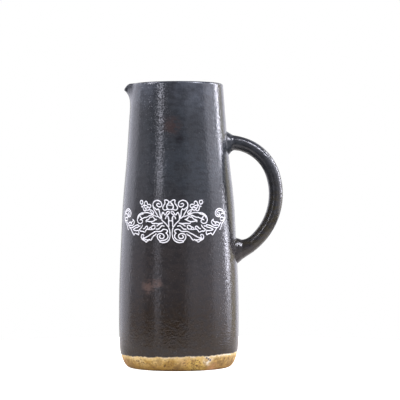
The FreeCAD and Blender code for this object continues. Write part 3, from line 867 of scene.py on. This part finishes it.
# Where the glaze changes, and its strengths there: by height, across the jug, and towards its edge
SLATE_HEIGHTS = ((90 * MM, 250 * MM), (0.0, 0.6))
UMBER_HEIGHTS = ((170 * MM, 90 * MM), (0.25, 1.0))
PEAT_HEIGHTS = ((95 * MM, 35 * MM), (0.0, 1.0))
RING_HEIGHTS = ((25 * MM, 120 * MM), (0.2, 1.0))
FRINGE_ACROSS = ((-20 * MM, 30 * MM), (0.45, 1.0))
FRINGE_EDGE = ((0.3, 0.95), (0.0, 0.9))
# Patches in the glaze: grain, detail, stretch, span of the noise, and strengths
GLAZE_CLOUDS = (34 * MM, 3, EVEN, (0.34, 0.66), (0.0, 0.4))
GLAZE_POOLS = (20 * MM, 4, (1, 1, 1.6), (0.36, 0.60), (0.1, 1.0))
GLAZE_BLOOMS = (9 * MM, 4, (1, 1, 1.6), (0.30, 0.60), (0.4, 1.0))
GLAZE_LINES = (4 * MM, 3, (16, 16, 0.8), (0.45, 0.68), (0.0, 0.12))
GLAZE_BROWNS = (26 * MM, 4, (1, 1, 1.2), (0.30, 0.56), (0.6, 1.0))
GLAZE_MOTTLES = (5 * MM, 4, (1.3, 1.3, 0.8), (0.42, 0.64), (0.0, 0.4))
GLAZE_WISPS = (7 * MM, 3, (1, 1, 0.5), (0.36, 0.60))
GLAZE_SPECKS = (1.3 * MM, 2, EVEN, (0.63, 0.72), (0.0, 0.45))
GLAZE_PITS = (1.2 * MM, 1, EVEN, (0.28, 0.42))
GLAZE_SHEEN = (7 * MM, 4, EVEN, (0.30, 0.70), (0.11, 0.20))
# Spots on the glaze: centre, size and colour
TEAL_SPOTS = (((26 * MM, -44 * MM, 225 * MM), 75 * MM, TEAL),)
BLOOM_SPOTS = (
    ((-34 * MM, -34 * MM, 298 * MM), 31 * MM, BLOOM),
    ((18 * MM, -45 * MM, 296 * MM), 42 * MM, BLOOM),
)
GLAZE_SPOTS_AND_SHADE = (
    ((-31 * MM, -55 * MM, 88 * MM), 11 * MM, RUST),
    ((-22 * MM, -59 * MM, 91 * MM), 9 * MM, RUST),
    ((-6 * MM, -51 * MM, 255 * MM), 15 * MM, SMUDGE),
    ((2 * MM, -52 * MM, 241 * MM), 8 * MM, SOOT_AND_SHADE),
    # Painted shade on the inner side of the handle below its upper root
    ((72 * MM, 0.0, 228 * MM), 20 * MM, SOOT_AND_SHADE),
    ((98 * MM, 0.0, 150 * MM), 62 * MM, OLIVE),
)
# Relief of the glaze: grain, detail and stretch of its noises, and depths
GLAZE_RINGS = (2.6 * MM, 2, (18, 18, 1))
GLAZE_PEEL = (2.3 * MM, 2)
RING_DEPTH = 0.018 * MM
PEEL_DEPTH = 0.24 * MM
GLAZE_PIT_DEPTH = 0.05 * MM
GLAZE_ROUGHNESS = 0.21


def dark_glaze():
    """Charcoal satin glaze, slate above and umber below, with smudges, painted shade under the handle's
    top, throwing lines and orange peel.
    """
    paint = Paint("dark_glaze", CHARCOAL, GLAZE_ROUGHNESS)
    height = paint.axis("Z")
    paint.coat(paint.plus(paint.remap(height, *SLATE_HEIGHTS), paint.patches(*GLAZE_CLOUDS)), SLATE)
    paint.coat_spots(TEAL_SPOTS, paint.patches(*GLAZE_POOLS))
    paint.coat_spots(BLOOM_SPOTS, paint.patches(*GLAZE_BLOOMS))
    paint.coat(paint.patches(*GLAZE_LINES), SOOT_AND_SHADE)
    paint.coat(paint.times(paint.remap(height, *UMBER_HEIGHTS), paint.patches(*GLAZE_BROWNS)), UMBER)
    paint.coat(paint.remap(height, *PEAT_HEIGHTS), PEAT)
    paint.coat(paint.patches(*GLAZE_MOTTLES), SOOT_AND_SHADE)
    # Rust and smudges, and painted shade on the handle's inner side below its upper root
    paint.coat_spots(GLAZE_SPOTS_AND_SHADE, paint.patches(*GLAZE_WISPS))
    paint.coat(paint.patches(*GLAZE_SPECKS), HAZE)
    fringe = paint.remap(paint.mark("edge"), *FRINGE_EDGE)
    paint.coat(paint.times(fringe, paint.remap(paint.axis("X"), *FRINGE_ACROSS)), CREAM)
    rings = paint.times(paint.noise(*GLAZE_RINGS), paint.remap(height, *RING_HEIGHTS))
    paint.relief(rings, RING_DEPTH)
    paint.relief(paint.noise(*GLAZE_PEEL), PEEL_DEPTH)
    paint.relief(paint.patches(*GLAZE_PITS), GLAZE_PIT_DEPTH)
    return paint.finish(paint.patches(*GLAZE_SHEEN))


# Colours of the clay
BUFF = (0.570, 0.360, 0.090)
OCHRE = (0.350, 0.195, 0.032)
BLUSH = (0.560, 0.300, 0.130)
PALE = (0.680, 0.490, 0.200)
STRAW = (0.640, 0.440, 0.110)
CHALK = (0.860, 0.800, 0.660)
IRON = (0.130, 0.070, 0.022)
UMBER_CLAY = (0.260, 0.150, 0.042)
INK = (0.040, 0.048, 0.085)
# Where the clay changes, as for the glaze
# Painted shade: the clay turns darker ochre towards the bottom of the foot
BOTTOM_SHADE_HEIGHTS = ((12 * MM, 2 * MM), (0.0, 0.85))
CHALK_ACROSS = ((-20 * MM, 30 * MM), (0.4, 1.0))
HALO_EDGE = ((0.05, 0.8), (0.0, 1.0))
CHALK_EDGE = ((0.6, 0.95), (0.0, 1.0))
# Patches in the clay: grain, detail, stretch, span of the noise, and strengths
CLAY_PALES = (13 * MM, 4, (1, 1, 0.6), (0.38, 0.62))
CLAY_OCHRES = (7 * MM, 5, (1, 1, 0.7), (0.48, 0.62), (0.0, 0.8))
CLAY_BLUSHES = (21 * MM, 3, EVEN, (0.54, 0.68), (0.0, 0.35))
CLAY_SMOKE = (4 * MM, 3, EVEN, (0.36, 0.56), (0.15, 1.0))
CLAY_MOTTLES = (5 * MM, 3, EVEN, (0.52, 0.62), (0.0, 0.55))
CLAY_BLOTCHES = (2.2 * MM, 3, EVEN, (0.52, 0.62), (0.0, 0.9))
CLAY_BLOTCHED = (11 * MM, 2, EVEN, (0.4, 0.6), (0.15, 1.0))
CLAY_RAGS = (3 * MM, 3, EVEN, (0.3, 0.6), (0.2, 1.0))
CLAY_SPECKS = (0.9 * MM, 2, EVEN, (0.63, 0.70), (0.0, 0.7))
CLAY_CHALK = (7 * MM, 3, EVEN, (0.42, 0.58), (0.1, 0.9))
CLAY_PITS = (2.2 * MM, 2, EVEN, (0.28, 0.40))
# Spots on the clay: centre, size and colour
CLAY_SPOTS = (
    ((-57 * MM, -20 * MM, 9 * MM), 12 * MM, BLUSH),
    ((36 * MM, -44 * MM, 4 * MM), 12 * MM, BLUSH),
    ((19 * MM, -55 * MM, 7 * MM), 16 * MM, STRAW),
    ((31 * MM, -52 * MM, 12 * MM), 9 * MM, CHALK),
    ((44 * MM, -41 * MM, 10 * MM), 15 * MM, UMBER_CLAY),
    ((55 * MM, -24 * MM, 9 * MM), 14 * MM, UMBER_CLAY),
    ((-52 * MM, -30 * MM, 6 * MM), 14 * MM, UMBER_CLAY),
    ((-2 * MM, -57 * MM, 2 * MM), 12 * MM, UMBER_CLAY),
)
INK_SPOTS = (
    ((29.2 * MM, -54.0 * MM, 14.0 * MM), 1.7 * MM, INK),
    ((31.0 * MM, -52.9 * MM, 12.7 * MM), 1.6 * MM, INK),
    ((33.0 * MM, -51.4 * MM, 11.3 * MM), 1.9 * MM, INK),
)
# Relief of the clay: grain and detail of its grit, and depths
CLAY_GRIT = (0.7 * MM, 3)
GRIT_DEPTH = 0.12 * MM
CLAY_PIT_DEPTH = 0.18 * MM
CLAY_ROUGHNESS = 0.8


def bare_clay():
    """Buff stoneware with ochre blushes, brown speckles, small pits, a pale halo by the glaze and painted
    shade in darker ochre along the bottom of the foot.
    """
    paint = Paint("bare_clay", BUFF, CLAY_ROUGHNESS)
    paint.coat(paint.patches(*CLAY_PALES), PALE)
    paint.coat(paint.patches(*CLAY_OCHRES), OCHRE)
    paint.coat(paint.patches(*CLAY_BLUSHES), BLUSH)
    # Painted shade: darker ochre towards the bottom of the foot, where it turns under
    paint.coat(paint.remap(paint.axis("Z"), *BOTTOM_SHADE_HEIGHTS), OCHRE)
    paint.coat_spots(CLAY_SPOTS, paint.patches(*CLAY_SMOKE))
    paint.coat(paint.patches(*CLAY_MOTTLES), UMBER_CLAY)
    paint.coat(paint.times(paint.patches(*CLAY_BLOTCHES), paint.patches(*CLAY_BLOTCHED)), IRON)
    edge = paint.mark("edge")
    paint.coat(paint.times(paint.remap(edge, *HALO_EDGE), paint.patches(*CLAY_RAGS)), PALE)
    paint.coat(paint.patches(*CLAY_SPECKS), IRON)
    chalky = paint.times(paint.patches(*CLAY_CHALK), paint.remap(paint.axis("X"), *CHALK_ACROSS))
    paint.coat(paint.times(paint.remap(edge, *CHALK_EDGE), chalky), CHALK)
    paint.coat_spots(INK_SPOTS, 1.0)
    paint.relief(paint.noise(*CLAY_GRIT), GRIT_DEPTH)
    paint.relief(paint.patches(*CLAY_PITS), CLAY_PIT_DEPTH)
    return paint.finish()


# White print: colours, patches and grain as above, and depth
PRINT_GREY = (0.660, 0.660, 0.690)
PRINT_WHITE = (0.800, 0.795, 0.815)
PRINT_COVER = (3.2 * MM, 4, EVEN, (0.3, 0.6))
PRINT_GRAIN = (0.9 * MM, 2)
PRINT_DEPTH = 0.05 * MM
PRINT_ROUGHNESS = 0.34


def white_print():
    """Off-white line print on the satin glaze, a little uneven."""
    paint = Paint("white_print", PRINT_GREY, PRINT_ROUGHNESS)
    paint.coat(paint.patches(*PRINT_COVER), PRINT_WHITE)
    paint.relief(paint.noise(*PRINT_GRAIN), PRINT_DEPTH)
    return paint.finish()


# Pieces
glaze, clay, print_white = dark_glaze(), bare_clay(), white_print()
pieces = [
    (glazed_wall(glaze), "dark_glaze", ["outer_glaze"]),
    (glazed_liner(glaze), "dark_glaze", ["liner_glaze"]),
    (glazed_handle(glaze), "dark_glaze", ["handle_glaze"]),
    (clay_pot(clay), "bare_clay", ["clay_body"]),
    (scroll_ornament(print_white), "white_print", []),
]
for piece, slot_name, nodes in pieces:
    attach(piece, "root")
    if nodes:
        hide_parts(*nodes)
for name in ("handle", "upper_joint", "lower_joint"):
    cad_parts[name].data.materials.clear()
    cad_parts[name].data.materials.append(clay)


# Floor, backdrop, lights and camera
GROUND_RADIUS = 400 * MM
GROUND_SIDES = 96
GROUND_COLOR = (0.57, 0.54, 0.50)
GROUND_ROUGHNESS = 0.9
GROUND_GLOW = 0.95
BACKDROP_LIGHT = 0.52
BACKDROP_MIRROR_SPAN = (0.88, 1.0)
BACKDROP_MIRROR_LIGHT = (0.10, 1.0)
LIGHT_DISTANCE = 1600 * MM
LIGHT_AIM_HEIGHT = 200 * MM
CAMERA_LENS = 151.7
CAMERA_SENSOR_WIDTH = 36.0
CAMERA_PLACE = Vector((23.0, -1800.0, 177.5)) * MM
CAMERA_ROLL = math.radians(-0.22)
COOL, WARM = (0.88, 0.88, 1.0), (1.0, 0.90, 0.62)
# Soft lights: name, two azimuths and two elevations in degrees, radiance and colour. Azimuths run from
# the camera's side towards the handle's.
SOFT_LIGHTS = (
    ("key_light", (-43.5, -36.5), (10.5, 40), 11.0, COOL),
    ("key_glow", (-44, -36.5), (-14, 10.5), 1.8, COOL),
    ("left_haze", (-103, -66), (-14, 44), 0.45, COOL),
    ("left_strip", (-84, -77), (28, 56), 45.0, COOL),
    ("left_card", (-156, -103), (-2, 36), 1.7, COOL),
    ("left_glow", (-154, -106), (-16, -2), 1.4, COOL),
    ("front_card", (20, 66), (1, 44), 0.45, COOL),
    ("front_glow", (16, 66), (-14, 1), 0.8, COOL),
    ("fill_light", (70, 102), (4, 40), 2.8, COOL),
    ("fill_glow", (68, 103), (-16, 4), 1.6, COOL),
    ("right_strip", (58, 67), (36, 66), 34.0, COOL),
    ("rim_light", (111, 117.5), (7.5, 40), 32.0, COOL),
    ("rim_glow", (106, 115), (-3, 5.5), 20.0, COOL),
    ("rim_foot", (105, 118), (-16, -2), 4.0, COOL),
    ("warm_card", (119, 138), (-16, 40), 1.05, WARM),
    ("right_card", (140, 162), (-16, 36), 1.4, COOL),
)


def floor():
    """A round pale floor, lightened for the camera, which keeps the contact shadow."""
    turns = [2 * math.pi * k / GROUND_SIDES for k in range(GROUND_SIDES)]
    corners = [(GROUND_RADIUS * math.cos(turn), GROUND_RADIUS * math.sin(turn), 0) for turn in turns]
    data = bpy.data.meshes.new("floor")
    data.from_pydata(corners, [], [range(GROUND_SIDES)])
    plane = bpy.data.objects.new("floor", data)
    bpy.context.scene.collection.objects.link(plane)
    material = bpy.data.materials.new("floor")
    material.use_nodes = True
    tree = material.node_tree
    seen = new_node(tree, "LightPath", {}).outputs["Is Camera Ray"]
    glow = new_node(tree, "Math", {0: seen, 1: GROUND_GLOW}, operation="MULTIPLY")
    looks = {
        "Base Color": GROUND_COLOR,
        "Roughness": GROUND_ROUGHNESS,
        "Specular IOR Level": 0.0,
        "Emission Color": (1, 1, 1),
        "Emission Strength": glow.outputs["Value"],
    }
    for name, value in looks.items():
        link(tree, value, tree.nodes["Principled BSDF"].inputs[name])
    data.materials.append(material)


def backdrop():
    """White for the camera, soft grey as a light, and in reflections white behind the jug, else dark."""
    world = bpy.data.worlds.new("backdrop")
    bpy.context.scene.world = world
    world.use_nodes = True
    tree = world.node_tree
    seen = new_node(tree, "LightPath", {}).outputs
    place = new_node(tree, "TexCoord", {}).outputs["Generated"]
    depth = new_node(tree, "SeparateXYZ", {"Vector": place}).outputs["Y"]
    behind = soft_map(tree, depth, BACKDROP_MIRROR_SPAN, BACKDROP_MIRROR_LIGHT)
    strength = BACKDROP_LIGHT
    for share, light in ((seen["Is Glossy Ray"], behind), (seen["Is Camera Ray"], 1.0)):
        strength = new_node(tree, "Mix", {"Factor": share, "A": strength, "B": light}).outputs["Result"]
    link(tree, (1, 1, 1), tree.nodes["Background"].inputs["Color"])
    link(tree, strength, tree.nodes["Background"].inputs["Strength"])


def softbox(name, azimuths, elevations, radiance, color):
    """A soft rectangular light that faces the jug and fills this part of its surroundings."""
    turn, climb = (math.radians(sum(span) / 2) for span in (azimuths, elevations))
    away = Vector((math.sin(turn) * math.cos(climb), -math.cos(turn) * math.cos(climb), math.sin(climb)))
    data = bpy.data.lights.new(name, "AREA")
    data.shape = "RECTANGLE"
    data.size, data.size_y = (
        2 * LIGHT_DISTANCE * math.tan(math.radians(abs(high - low) / 2))
        for low, high in (azimuths, elevations)
    )
    data.color = color
    data.energy = radiance * math.pi * data.size * data.size_y
    lamp = bpy.data.objects.new(name, data)
    lamp.location = Vector((0, 0, LIGHT_AIM_HEIGHT)) + away * LIGHT_DISTANCE
    lamp.rotation_mode = "QUATERNION"
    lamp.rotation_quaternion = away.to_track_quat("Z", "Y")
    bpy.context.scene.collection.objects.link(lamp)


def camera():
    """The photograph's view: level, a little right of the jug's axis, with a slight roll."""
    data = bpy.data.cameras.new("camera")
    data.lens, data.sensor_width = CAMERA_LENS, CAMERA_SENSOR_WIDTH
    eye = bpy.data.objects.new("camera", data)
    upright = Matrix.Translation(CAMERA_PLACE) @ Matrix.Rotation(math.pi / 2, 4, "X")
    eye.matrix_world = upright @ Matrix.Rotation(CAMERA_ROLL, 4, "Z")
    bpy.context.scene.collection.objects.link(eye)
    bpy.context.scene.camera = eye


floor()
backdrop()
for light in SOFT_LIGHTS:
    softbox(*light)
camera()
bpy.context.scene.view_settings.view_transform = "Standard"
